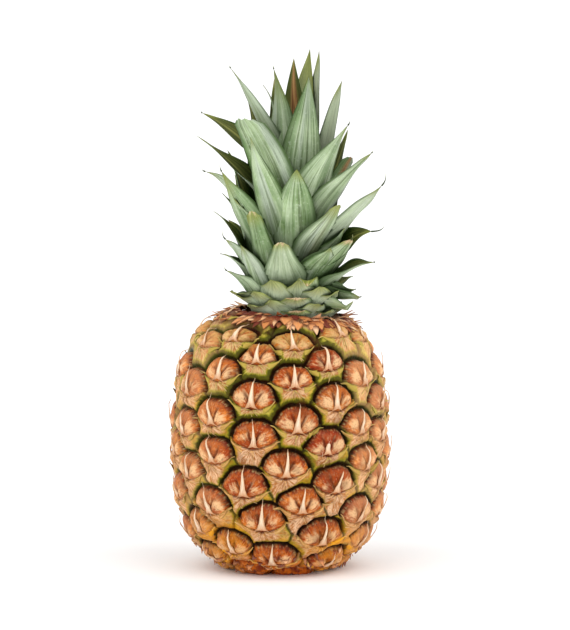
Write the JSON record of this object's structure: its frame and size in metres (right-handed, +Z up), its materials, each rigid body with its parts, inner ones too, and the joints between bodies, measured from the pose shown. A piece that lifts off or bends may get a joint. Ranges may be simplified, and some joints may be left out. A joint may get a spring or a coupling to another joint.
{
  "type": "pineapple",
  "caption": "Whole ripe pineapple standing on its foot: barrel-shaped fruit of spiral eyes with dry bracts, and a crown of channelled pointed leaves.",
  "frame": {"origin": "middle of the flat foot, on the surface that the fruit stands on", "axes": "+Z up along the fruit's axis to the crown, -Y towards the pictured front"},
  "size_m": [0.129, 0.1294, 0.296],
  "materials": {
    "rind": "waxy orange-brown rind with tan bracts and dark green grooves",
    "leaf": "silvery grey-green leaves with fine lengthwise stripes, dark olive inside, dry olive tips",
    "cut_stalk": "dry fibrous cut",
    "dry_bract": "thin dry papery bract"
  },
  "bodies": {
    "root": {"fruit": "rind", "crown": "leaf", "stalk": "cut_stalk"}
  },
  "joints": []
}
